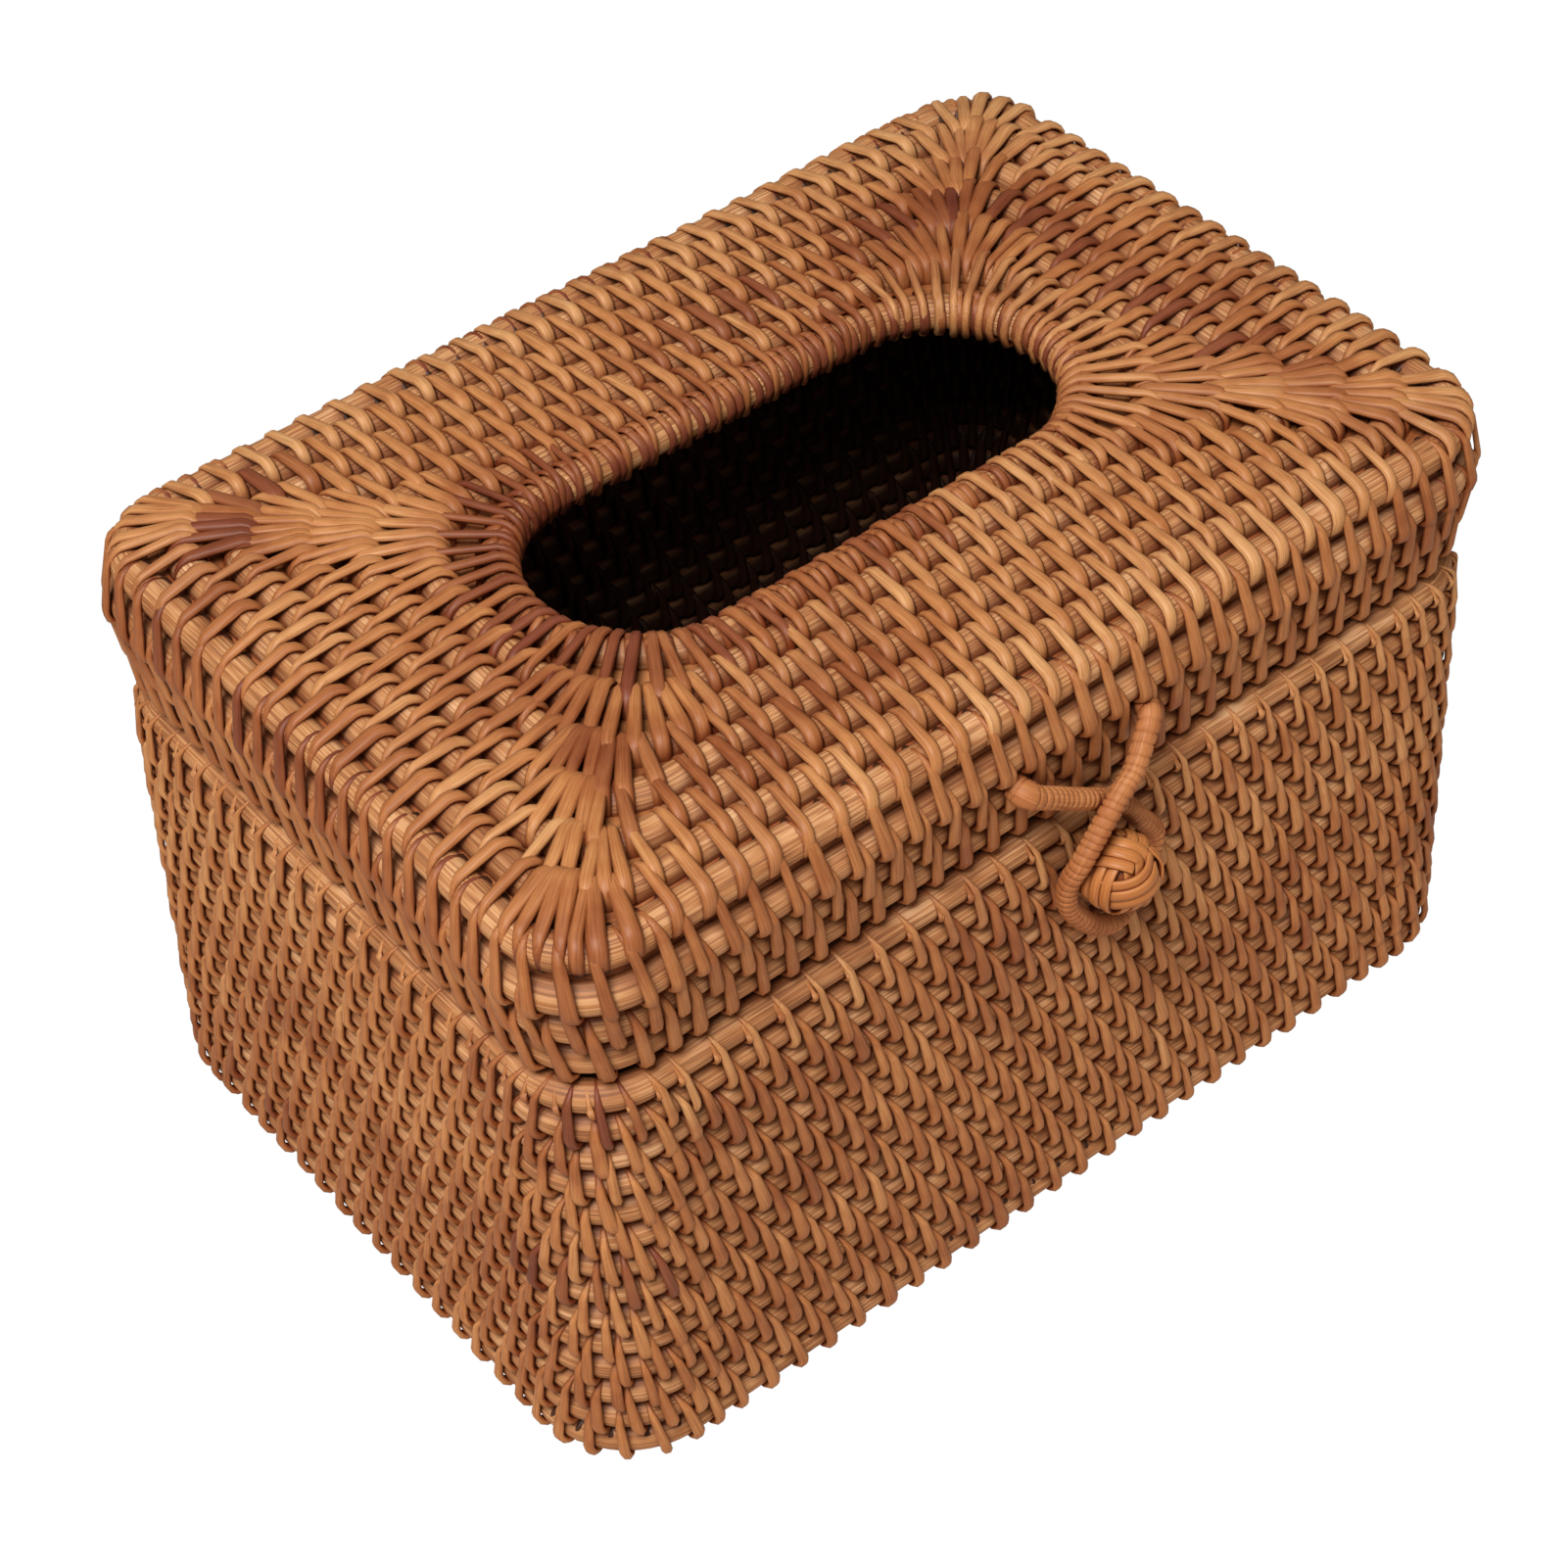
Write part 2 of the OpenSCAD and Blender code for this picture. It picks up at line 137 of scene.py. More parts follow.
# Peeled rattan core: matte, with dark pores along the cane and patches from pale to
# brown. straight_x and straight_y say how far each row runs straight, so that the
# grain follows its bends.
core_cane, tree, shader = new_material("peeled_core_cane", Roughness=0.6, IOR=1.45)
pores_a_metre = (2300, 2300, 70)  # 0.43 mm apart and 14 mm long
patches_a_metre = 60.0  # 17 mm wide
# painted shade for the inside of the box, on the canes' inner halves and the stitches' inner sides
painted_inside_shade = "#3C2013"
place = add(tree, "ShaderNodeTexCoord").outputs["Object"]
split = add(tree, "ShaderNodeSeparateXYZ", None, {"Vector": place})
beyond = []
for axis in "XY":
    away = add(tree, "ShaderNodeMath", {"operation": "ABSOLUTE"}, {0: split.outputs[axis]}).outputs[0]
    straight = {"attribute_type": "OBJECT", "attribute_name": "straight_" + axis.lower()}
    run = add(tree, "ShaderNodeAttribute", straight).outputs["Fac"]
    past = add(tree, "ShaderNodeMath", {"operation": "SUBTRACT"}, {0: away, 1: run}).outputs[0]
    beyond.append(add(tree, "ShaderNodeMath", {"operation": "MAXIMUM"}, {0: past, 1: 0.0}).outputs[0])
corner_way = add(tree, "ShaderNodeCombineXYZ", None, {"X": beyond[0], "Y": beyond[1]}).outputs[0]
across = add(tree, "ShaderNodeVectorMath", {"operation": "LENGTH"}, {0: corner_way}).outputs["Value"]
along = add(tree, "ShaderNodeMath", None, {0: split.outputs["X"], 1: split.outputs["Y"]}).outputs[0]
height = split.outputs["Z"]
grain = add(tree, "ShaderNodeCombineXYZ", None, {"X": across, "Y": height, "Z": along}).outputs[0]
stretched = add(tree, "ShaderNodeMapping", None, {"Vector": grain, "Scale": pores_a_metre}).outputs[0]
pores, patches = (
    add(tree, "ShaderNodeTexNoise", None, {"Vector": where, "Scale": scale, "Detail": 2.0}).outputs["Fac"]
    for where, scale in ((stretched, 1.0), (place, patches_a_metre))
)
tans = ((0.3, "#A3724B"), (0.5, "#BC8C60"), (0.72, "#D2A880"))
wood = add(tree, "ShaderNodeValToRGB", None, {"Fac": patches}, tans).outputs["Color"]
wood = stained(tree, wood, 0.7, pores, (0.36, "#8A5A34"), (0.48, "#D6B086"), (0.6, "#FFFFFF"))
# painted shade: the canes turn a dark red brown where they lie deep between canes and strands
wood = painted_crevice_shade(tree, wood, "#66290C", 0.005, 0.08, 0.74)
# painted shade: the half of each cane that faces into the box is darkened, from 1.6 to 3.2 mm behind its
# middle, for the shade inside the box
outward_ways = []
for value, middle_name, facing in ((across, "bend", "faces_out"), (height, "middle_z", "faces_up")):
    middle, faces = (
        add(tree, "ShaderNodeAttribute", {"attribute_type": "OBJECT", "attribute_name": name}).outputs["Fac"]
        for name in (middle_name, facing)
    )
    off_middle = add(tree, "ShaderNodeMath", {"operation": "SUBTRACT"}, {0: value, 1: middle}).outputs[0]
    outward_way = add(tree, "ShaderNodeMath", {"operation": "MULTIPLY"}, {0: off_middle, 1: faces})
    outward_ways.append(outward_way.outputs[0])
outwards = add(tree, "ShaderNodeMath", None, {0: outward_ways[0], 1: outward_ways[1]}).outputs[0]
wood = darkened(tree, wood, painted_inside_shade, outwards, -0.0032, -0.0016)
tree.links.new(wood, shader.inputs["Base Color"])
bump = add(tree, "ShaderNodeBump", None, {"Strength": 0.4, "Distance": 0.0002, "Height": pores})
tree.links.new(bump.outputs[0], shader.inputs["Normal"])


def cane_row(node_name):
    """The centre line of a CAD cane, read off its box and its corners, in millimetres."""
    mesh = frame["nodes"][node_name].data
    low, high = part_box(node_name)
    points = np.empty(len(mesh.vertices) * 3)
    mesh.vertices.foreach_get("co", points)
    points = points.reshape(-1, 3) / MM
    radius = (high.z - low.z) / 2 / MM
    a, b = high.x / MM - radius, high.y / MM - radius
    widest = (points[:, 0] + points[:, 1]).max() / math.sqrt(2)
    bend = ((a + b) / math.sqrt(2) + radius - widest) / (math.sqrt(2) - 1)
    bend = min(bend, a, b)
    middle_z = (low.z + high.z) / 2 / MM
    return {"x": a - bend, "y": max(b - bend, 0.001), "bend": bend, "z": middle_z, "r": radius}


for name, node in frame["nodes"].items():
    if "coil" not in name and name != "bottom_core_cane":
        continue
    node.data.materials.clear()
    node.data.materials.append(core_cane)
    node.data.polygons.foreach_set("use_smooth", [True] * len(node.data.polygons))
    # the straight cane in the middle of the bottom has no bends
    row = cane_row(name) if "coil" in name else {"x": 200.0, "y": 0.0, "bend": 0.0}
    low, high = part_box(name)
    node["straight_x"], node["straight_y"] = row["x"] * MM, row["y"] * MM
    node["bend"], node["middle_z"] = row["bend"] * MM, (low.z + high.z) / 2
    # the lid's top rows face up, those of the bottom down, and the corner row faces up and out
    if "corner" in name:
        node["faces_up"] = node["faces_out"] = 0.7
    else:
        node["faces_up"] = 1.0 if "lid_top" in name else -1.0 if "bottom" in name else 0.0
        node["faces_out"] = 1.0 - abs(node["faces_up"])


# Wall lashing. All rows are bound with one continuous lashing of peeled, half-round
# cane skin. Each stitch goes round two neighbouring canes, and the stitches of
# the next row start between them, so that small blocks of bare cane are left.
def skin_material(name, dark, low, middle, high, rough):
    """Rattan skin: honey tan and satin, each length a shade of its own, with fine fibres along it.

    The weave attribute holds a point's place across and along its strip, in millimetres, and its shade, which
    carries painted shade on the stitches' edges, starts and inner sides as well as the strip's own tone.
    """
    material, tree, shader = new_material(name, Roughness=rough, IOR=1.4)
    # fibres 0.24 mm apart and 9 mm long, and another pattern for each shade
    fibre_rates = (4.2, 0.11, 37.0)
    patches_a_metre, areas_a_metre = 130.0, 28.0  # 8 mm and 36 mm wide
    place = add(tree, "ShaderNodeTexCoord").outputs["Object"]
    weave = add(tree, "ShaderNodeAttribute", {"attribute_name": "weave"}).outputs["Vector"]
    shade = add(tree, "ShaderNodeSeparateXYZ", None, {"Vector": weave}).outputs["Z"]
    stretched = add(tree, "ShaderNodeMapping", None, {"Vector": weave, "Scale": fibre_rates}).outputs[0]
    fibre, patch, area = (
        add(tree, "ShaderNodeTexNoise", None, {"Vector": where, "Scale": scale, "Detail": 3.0}).outputs["Fac"]
        for where, scale in ((stretched, 1.0), (place, patches_a_metre), (place, areas_a_metre))
    )
    tones = ((0.0, dark), (0.16, low), (0.55, middle), (1.0, high))
    colour = add(tree, "ShaderNodeValToRGB", None, {"Fac": shade}, tones).outputs["Color"]
    colour = stained(tree, colour, 0.45, fibre, (0.32, "#9A6B45"), (0.46, "#D9B791"), (0.6, "#FFFFFF"))
    # small patches are worn, and wide ones are redder
    colour = stained(tree, colour, 0.35, patch, (0.35, "#C99C78"), (0.55, "#FFFFFF"))
    colour = stained(tree, colour, 0.5, area, (0.36, "#AC6A50"), (0.47, "#F2E4DA"), (0.58, "#FFFFFF"))
    # painted shade: the strands turn a dark red brown where they lie deep in gaps and under their neighbours
    colour = painted_crevice_shade(tree, colour, "#702E0E", 0.004, 0.08, 0.82)
    # painted shade: a tone of -1 marks a stitch's hidden inner side, which turns to the dark inside shade
    colour = darkened(tree, colour, painted_inside_shade, shade, -0.7, -0.2)
    tree.links.new(colour, shader.inputs["Base Color"])
    bump = add(tree, "ShaderNodeBump", None, {"Strength": 0.3, "Distance": 0.0001, "Height": fibre})
    tree.links.new(bump.outputs[0], shader.inputs["Normal"])
    return material


# Split cane skin of the lashing: honey tan, some lengths a reddish brown
skin_cane = skin_material("split_cane_skin", "#7C4430", "#A56C42", "#B88151", "#C99B6B", 0.52)


def row_stops(row):
    """Arc lengths at which a row changes between straight and bend, from the middle of its front."""
    x, y, quarter = row["x"], row["y"], row["bend"] * math.pi / 2
    return np.cumsum([0, x, quarter, 2 * y, quarter, 2 * x, quarter, 2 * y, quarter, x])


def row_point(row, s):
    """Points and directions along a row at arc lengths s, counter-clockwise from above."""
    x, y, stops = row["x"], row["y"], row_stops(row)
    s = np.mod(s, stops[-1])
    core_x = np.interp(s, stops, [0, x, x, x, x, -x, -x, -x, -x, 0])
    core_y = np.interp(s, stops, [-y, -y, -y, y, y, y, y, -y, -y, -y])
    angle = np.interp(s, stops, np.radians([-90, -90, 0, 0, 90, 90, 180, 180, 270, 270]))
    out = np.stack([np.cos(angle), np.sin(angle), np.zeros_like(angle)], 1)
    point = np.stack([core_x, core_y, np.full_like(s, row["z"])], 1) + row["bend"] * out
    return point, np.stack([-out[:, 1], out[:, 0], np.zeros_like(angle)], 1)


def crossing(row, side, offset):
    """Arc length at which a row meets a line square to a side, offset from its middle."""
    straight = row["xy"[side % 2]]
    bent = min(max(abs(offset) - straight, 0), 0.999 * row["bend"])
    reach = min(abs(offset), straight) + row["bend"] * math.asin(bent / row["bend"])
    stops = row_stops(row)
    middle = (0, (stops[2] + stops[3]) / 2, stops[-1] / 2, (stops[6] + stops[7]) / 2)[side]
    return middle + math.copysign(reach, offset)


def stitch_places(start, end, steps, drifts, bend_step, fan=1.0, spread=0.0, crowd=1.0):
    """Arc lengths on two rows of every stitch that joins them.

    steps and drifts are the stitches' spacing and shift on the four sides, and bend_step is their spacing
    round a bend. fan 0 keeps them square to each side up to the mitre, and fan 1 turns them with the rows.
    spread slants them apart towards a side's ends, and a crowd under 1 draws those of a bend together.
    """
    wide, near = (start, end) if start["x"] > end["x"] else (end, start)
    wide_share, near_share, before_bend = 0.59, 0.68, 4
    slants = [spread / 2 if row is wide else -spread / 2 for row in (start, end)]
    sides = []
    for side in range(4):
        key = "xy"[side % 2]
        straight = min(start[key], end[key]) - before_bend
        mitre = min(wide[key] + wide_share * wide["bend"], near[key] + near_share * near["bend"])
        reach = max(mitre + (straight - mitre) * fan, 0.0005)
        step, drift = steps[side], drifts[side] % steps[side]
        first, last = math.ceil((-reach - drift) / step), math.floor((reach - drift) / step)
        offsets = [drift + step * i for i in range(first, last + 1)] or [0.0]
        rows = list(zip((start, end), slants))
        sides.append([[crossing(row, side, o * (1 + slant)) for row, slant in rows] for o in offsets])
    whole = row_stops(start)[-1], row_stops(end)[-1]
    places = []
    for side in range(4):
        places += sides[side]
        begin, target = sides[side][-1], sides[(side + 1) % 4][0]
        gaps = [(t - b) % w for t, b, w in zip(target, begin, whole)]
        extra = max(round(sum(gaps) / 2 / bend_step) - 1, 0)
        for i in range(extra):
            part = 0.5 + ((i + 1) / (extra + 1) - 0.5) * crowd
            places.append([b + g * part for b, g in zip(begin, gaps)])
    s_a, s_b = np.array(places).T
    return np.mod(s_a, whole[0]), np.mod(s_b, whole[1])


STATIONS, SIDES = 15, 6
# Angle of each station from straight outwards: -90 is the gap where the stitch
# comes up, 90 the gap where it goes down, and the rest lie on the inner side
station_angle = np.array([-90, -60, -32, -10, 0.0, 0.01, 14, 32, 52, 72, 92, 140, 180, 180.01, 225])
# Where it is along the visible part, 0 to 1, and back to 0 on the inner side
station_share = np.array([0, 0.1, 0.2, 0.3, 0.36, 0.64, 0.7, 0.77, 0.86, 0.94, 1, 1, 0.66, 0.33, 0])
# The half-round section, from one edge over the crown to the other edge
section_across = np.array([0.43, 0.5, 0.25, -0.25, -0.5, -0.43])
section_up = np.array([0.0, 0.45, 0.93, 0.93, 0.45, 0.0])


def stitch_template():
    """One stitch as a ring: a closed band, 15 stations round and 6 faces across."""
    bm = bmesh.new()
    bmesh.ops.create_grid(bm, x_segments=STATIONS, y_segments=SIDES, size=0.5)
    for vertex in bm.verts:
        round_ring, round_band = (vertex.co.x + 0.5) * 2 * math.pi, (vertex.co.y + 0.5) * 2 * math.pi
        out = 2 + 0.5 * math.cos(round_band)
        vertex.co = (out * math.cos(round_ring), out * math.sin(round_ring), 0.5 * math.sin(round_band))
    bmesh.ops.remove_doubles(bm, verts=bm.verts, dist=1e-4)
    bmesh.ops.recalc_face_normals(bm, faces=bm.faces)
    mesh = bpy.data.meshes.new("stitch_template")
    bm.to_mesh(mesh)
    bm.free()
    return mesh


# Which station and which point of the section each of the template's points is
template = stitch_template()
ring_x, ring_y, ring_z = np.array([vertex.co[:] for vertex in template.vertices]).T
station = np.round(np.arctan2(ring_y, ring_x) / 2 / math.pi * STATIONS).astype(int) % STATIONS
corner = np.round(np.arctan2(ring_z, np.hypot(ring_x, ring_y) - 2) / 2 / math.pi * SIDES).astype(int) % SIDES


def smooth(value):
    """A soft step from 0 to 1."""
    value = np.clip(value, 0, 1)
    return value * value * (3 - 2 * value)


def stitch_frames(row):
    """Middles of a row's stitches, directions along the canes, over them and outwards, and the canes' gap."""
    p_a, t_a = row_point(row["start"], row["s_start"])
    p_b, t_b = row_point(row["end"], row["s_end"])
    tangent = t_a + t_b
    tangent /= np.linalg.norm(tangent, axis=1)[:, None]
    if row.get("flip") is not None:
        swap = row["flip"](tangent)
        p_a[swap], p_b[swap] = p_b[swap].copy(), p_a[swap].copy()
    middle = (p_a + p_b) / 2
    over = row["towards"](tangent) if "towards" in row else p_b - p_a
    over = over - (over * tangent).sum(1)[:, None] * tangent
    length = np.linalg.norm(over, axis=1)[:, None]
    over = over / length
    outward = np.cross(over, tangent)
    outward *= np.sign(((middle - [0, 0, row["inside_z"]]) * outward).sum(1))[:, None]
    return middle, tangent, over, outward, length * (0 if "towards" in row else 1)


def stitch_shades(row, rng, middle):
    """A shade for each stitch. One length of skin makes a run of 8 to 29 stitches, or 3 to 8 where dark."""
    amount = len(middle)
    shade = np.empty(amount)
    at = 0
    while at < amount:
        plain = rng.random() > row.get("dark", 0.08)
        run = int(rng.integers(8, 30)) if plain else int(rng.integers(3, 9))
        shade[at : at + run] = rng.beta(2.6, 2.0) if plain else rng.uniform(0.03, 0.25)
        at += run
    if "shade" in row:
        low, high = row["shade"](middle)
        shade = low + (high - low) * shade
    return (shade + rng.normal(0, 0.06, amount)).clip(0, 1)[:, None]


def stitch_row(row):
    """Points and weave values of all stitches of one row, stitch by stitch.

    The row's look is in millimetres, each a number or a function of the direction along the canes: the
    strand's width and thickness, how far it leans, how far it bows, how far its start is tucked aside and
    its end hooked. taper, dive and proud say how much its start narrows, how far its end goes down and how
    far it stands off on the inner side. towards makes it go round its start cane alone.
    """
    rng = np.random.default_rng(row["seed"])
    middle, tangent, over, outward, gap = stitch_frames(row)
    amount, cane_r = len(middle), row["start"]["r"]
    look = {}
    for key in ("width", "lean", "tuck", "hook", "thick", "bow"):
        value = row.get(key, 0)
        look[key] = (value(tangent) if callable(value) else np.full(amount, float(value)))[:, None]
    width = look["width"] * rng.normal(1, 0.1, (amount, 1)).clip(0.75, 1.3)
    lean = look["lean"] + rng.normal(0, 0.35, (amount, 1))
    slide = rng.normal(0, 0.28, (amount, 1))
    thick = look["thick"] * rng.normal(1, 0.06, (amount, 1))
    shade = stitch_shades(row, rng, middle)
    taper, dive, proud = row.get("taper", 1.0), row.get("dive", 1.0), row.get("proud", 0)
    degrees, share = station_angle[station], station_share[station]
    angle = np.radians(degrees)
    inner = degrees > 100
    cane_side = np.where((degrees > 0) & (degrees <= 180), 0.5, -0.5)
    # it comes up as a narrow point, widens over the canes and goes down into the second gap
    wide = width * (1 - 0.58 * taper * (1 - smooth(share / 0.6)))
    lift = 0.4 * smooth((share - 0.4) / 0.3) - 0.5 * taper * (1 - smooth(share / 0.4))
    lift = lift - 0.75 * dive * smooth((share - 0.76) / 0.24)
    lift = np.where(inner, proud - 0.1, lift)
    full = (1 - 0.55 * taper * (1 - smooth(share / 0.5))) * (1 - 0.35 * dive * smooth((share - 0.8) / 0.2))
    radius = cane_r + 0.05 + lift + section_up[corner] * thick * full
    # its place over the canes, from 0 in the first gap to 1 in the second, moves it aside
    offset_over = cane_side * gap + radius * np.sin(angle)
    reach = gap / 2 + cane_r + 0.6
    v = ((offset_over + reach) / 2 / reach).clip(0, 1)
    slip = lean * (v - 0.5) + look["bow"] * (4 * v * (1 - v) - 0.5) + slide
    slip = slip - look["tuck"] * (1 - v) ** 3 - look["hook"] * smooth((v - 0.74) / 0.26)
    offset_across = section_across[corner] * wide
    points = middle[:, None] + tangent[:, None] * slip[:, :, None] + over[:, None] * offset_over[:, :, None]
    points = points + outward[:, None] * (radius * np.cos(angle))[:, :, None]
    points = points + np.cross(over, outward)[:, None] * offset_across[:, :, None]
    # the stitches under the bottom are flat where the box stands on them
    points[:, :, 2] = points[:, :, 2].clip(0.02, None)
    # painted shade: the tone is lowered along the strand's edges and at its start, where it comes up out of
    # the gap, and set to -1 on its inner side where proud is 0, which the material paints as the shade inside
    # the box; the rest is the strip's own tone
    tone_and_painted_shade = (shade - 0.12 * (section_up[corner] < 0.4) - 0.25 * (1 - smooth(share / 0.25))).clip(0, 1)
    tone_and_painted_shade = np.where(inner & (proud == 0), -1, tone_and_painted_shade)
    run_along = angle * radius + cane_side * gap + rng.uniform(0, 900, (amount, 1))
    return points.reshape(-1, 3), np.stack([offset_across, run_along, tone_and_painted_shade], 2).reshape(-1, 3)


def finished(piece, body, material, rounded=True):
    """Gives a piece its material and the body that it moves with."""
    piece.data.polygons.foreach_set("use_smooth", [rounded] * len(piece.data.polygons))
    piece.data.materials.append(material)
    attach(piece, body)
    return piece


def stitches(name, body, rows, replaced=()):
    """A piece of all stitches of these rows, as copies of the template whose points are moved."""
    points, weave = (np.concatenate(parts) for parts in zip(*map(stitch_row, rows)))
    piece = bpy.data.objects.new(name, template.copy())
    bpy.context.collection.objects.link(piece)
    copies = piece.modifiers.new("copies", "ARRAY")
    copies.use_relative_offset = False
    copies.count = len(points) // len(template.vertices)
    mesh = bpy.data.meshes.new_from_object(piece.evaluated_get(bpy.context.evaluated_depsgraph_get()))
    mesh.name = name
    piece.modifiers.clear()
    piece.data = mesh
    mesh.vertices.foreach_set("co", (points * MM).astype(np.float32).ravel())
    values = mesh.attributes.new("weave", "FLOAT_VECTOR", "POINT").data
    values.foreach_set("vector", weave.astype(np.float32).ravel())
    mesh.update()
    bm = bmesh.new()
    bm.from_mesh(mesh)
    if bm.calc_volume(signed=True) < 0:
        bmesh.ops.reverse_faces(bm, faces=bm.faces)
        bm.to_mesh(mesh)
    bm.free()
    finished(piece, body, skin_cane)
    if replaced:
        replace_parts(piece, *replaced)


wall_canes = [cane_row(f"base_coil_{i:02d}") for i in range(14, 0, -1)]
wall_steps, wall_bend_step = (8.0, 7.5) * 2, 5.6
wall_rows = []
for i, (upper, lower) in enumerate(zip(wall_canes, wall_canes[1:])):
    # each row is shifted by a little over half a step, so that its stitches lie between the last row's
    wall_drifts = (4.3 * i, 4.1 * i) * 2
    s_start, s_end = stitch_places(upper, lower, wall_steps, wall_drifts, wall_bend_step)
    wall_rows.append({
        "start": upper, "end": lower, "s_start": s_start, "s_end": s_end, "inside_z": 60, "seed": 100 + i,
        "thick": 1.45, "tuck": 0.5, "dark": 0.1,
        "width": lambda t: 2.15 + 0.6 * np.abs(t[:, 0]),
        # the strips are darker towards the foot
        "shade": lambda p: (0.0, 0.68 + 0.32 * np.clip(p[:, 2] / 110, 0, 1)),
        # the stitches lean to the right on the front wall and to the left on the left wall
        "lean": lambda t: (2.3 + 0.6 * np.abs(t[:, 0])) * np.clip((t[:, 0] + t[:, 1]) * 1.3, -1, 1),
        "bow": lambda t: 0.7 * t[:, 0] + 2.0 * t[:, 1],
        "hook": lambda t: 0.5 * t[:, 1] + 0.4 * t[:, 0],
    })
wall_rows[0]["width"] = 2.1
stitches("wall_lashing_upper", "base", wall_rows[:6], ["wall_lashing"])
stitches("wall_lashing_lower", "base", wall_rows[6:])


# Tucked ends. Where one length of the lashing runs out, its end lies flat along the
# gap between two canes, under the stitches, which hold it. Only its edges show.
def tube(bm, line, across, up, section, lengths, shade, closed=True):
    """Adds a section, steps x points x (across, up) in millimetres, carried along a line."""
    steps, sides = section.shape[:2]
    spans = steps if closed else steps - 1
    weave = bm.verts.layers.float_vector["weave"]
    grid = bmesh.ops.create_grid(bm, x_segments=spans, y_segments=sides, size=0.5)
    for vertex in grid["verts"]:
        i = round((vertex.co.x + 0.5) * spans) % steps
        j = round((vertex.co.y + 0.5) * sides) % sides
        a, b = section[i, j]
        vertex[weave] = (a, lengths[i], shade)
        vertex.co = (line[i] + across[i] * a + up[i] * b) * MM
    bmesh.ops.remove_doubles(bm, verts=grid["verts"], dist=1e-8)
    if not closed:
        bmesh.ops.holes_fill(bm, edges=[e for e in bm.edges if e.is_boundary], sides=sides)


def woven(name, bm, body, material, rounded=True):
    """Makes a bmesh a piece."""
    bmesh.ops.recalc_face_normals(bm, faces=bm.faces)
    mesh = bpy.data.meshes.new(name)
    bm.to_mesh(mesh)
    bm.free()
    piece = bpy.data.objects.new(name, mesh)
    bpy.context.collection.objects.link(piece)
    return finished(piece, body, material, rounded)


def tucked_ends(name, body, canes):
    """Flat strips in the gaps between these canes, wedged a little under each."""
    wedged = 0.5
    # the strip's section: across in half widths, and up in millimetres
    strip = np.array([(-1, 0.0), (-0.6, 0.5), (0.6, 0.5), (1, 0.0), (0, -0.4)])
    shares = np.linspace(0, 1, 12, endpoint=False)
    bm = bmesh.new()
    bm.verts.layers.float_vector.new("weave")
    for a, b in zip(canes, canes[1:]):
        s_a, s_b = (
            np.concatenate([low + shares * (high - low) for low, high in zip(stops, stops[1:])])
            for stops in (row_stops(a), row_stops(b))
        )
        (p_a, t_a), (p_b, t_b) = row_point(a, s_a), row_point(b, s_b)
        tangent = (t_a + t_b) / np.linalg.norm(t_a + t_b, axis=1)[:, None]
        away = p_b - p_a - ((p_b - p_a) * tangent).sum(1)[:, None] * tangent
        distance = np.linalg.norm(away, axis=1)
        away /= distance[:, None]
        up = np.cross(tangent, away)
        up *= np.sign(up[:, 2] + 0.01)[:, None]
        half = (distance - a["r"] - b["r"]) / 2 + wedged
        section = np.stack([half[:, None] * strip[:, 0], np.tile(strip[:, 1], (len(half), 1))], 2)
        tube(bm, (p_a + p_b) / 2, away, up, section, s_a, 0.4)
    woven(name, bm, body, skin_cane, False)


tucked_ends("wall_tucked_ends", "base", wall_canes)

# Rim wraps. Beside each stitch of the top row a thin strand of the same cane skin
# goes round the rim alone, and binds its edge.
rim_row = dict(wall_rows[0], width=1.5, lean=1.2, tuck=0.3, hook=0, bow=0, seed=150, thick=0.8)
rim_row["end"], beside_stitch = rim_row["start"], 1.75
rim_length = row_stops(rim_row["start"])[-1]
rim_row["s_start"] = rim_row["s_end"] = np.mod(rim_row["s_start"] - beside_stitch, rim_length)
rim_row["towards"] = lambda t: np.tile([0.0, 0.0, -1.0], (len(t), 1))
stitches("rim_wraps", "base", [rim_row])

# Bottom lashing. The same stitches of cane skin carry on inwards under the box,
# row by row to a straight cane in the middle, and the box stands on them.
core_low, core_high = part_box("bottom_core_cane")
core_row = {"x": core_high.x / MM, "y": 0.001, "bend": 0.001, "z": (core_low.z + core_high.z) / 2 / MM}
core_row["r"] = (core_high.z - core_low.z) / 2 / MM
bottom_rings = [wall_canes[-1]] + [cane_row(f"bottom_coil_{i}") for i in range(1, 10)]
bottom_rows = []
for i, (outer, inner) in enumerate(zip(bottom_rings, bottom_rings[1:] + [core_row])):
    drift = 4.2 * i if inner is not core_row else 1.95
    s_start, s_end = stitch_places(outer, inner, (7.8,) * 4, (drift,) * 4, 5.0, 0.5)
    bottom_rows.append({
        "start": outer, "end": inner, "s_start": s_start, "s_end": s_end, "inside_z": 60, "seed": 200 + i,
        "width": 2.7, "thick": 0.55, "tuck": 0.5, "bow": 0.8, "lean": 2.0,
    })
stitches("bottom_stitches", "base", bottom_rows, ["bottom_lashing"])
tucked_ends("bottom_tucked_ends", "base", bottom_rings)

# Lid lashing. The lid is bound with the same strips in the same brick pattern, from
# its lower rim up its sides and inwards over its top, row by row, to the slot. On
# the top the four sides meet in mitres, where the stitches fan out.
lid_nodes = [f"lid_top_coil_{i}" for i in range(1, 7)] + ["lid_corner_coil"]
lid_nodes += [f"lid_side_coil_{i}" for i in range(1, 4)]
lid_canes = [cane_row(name) for name in lid_nodes]
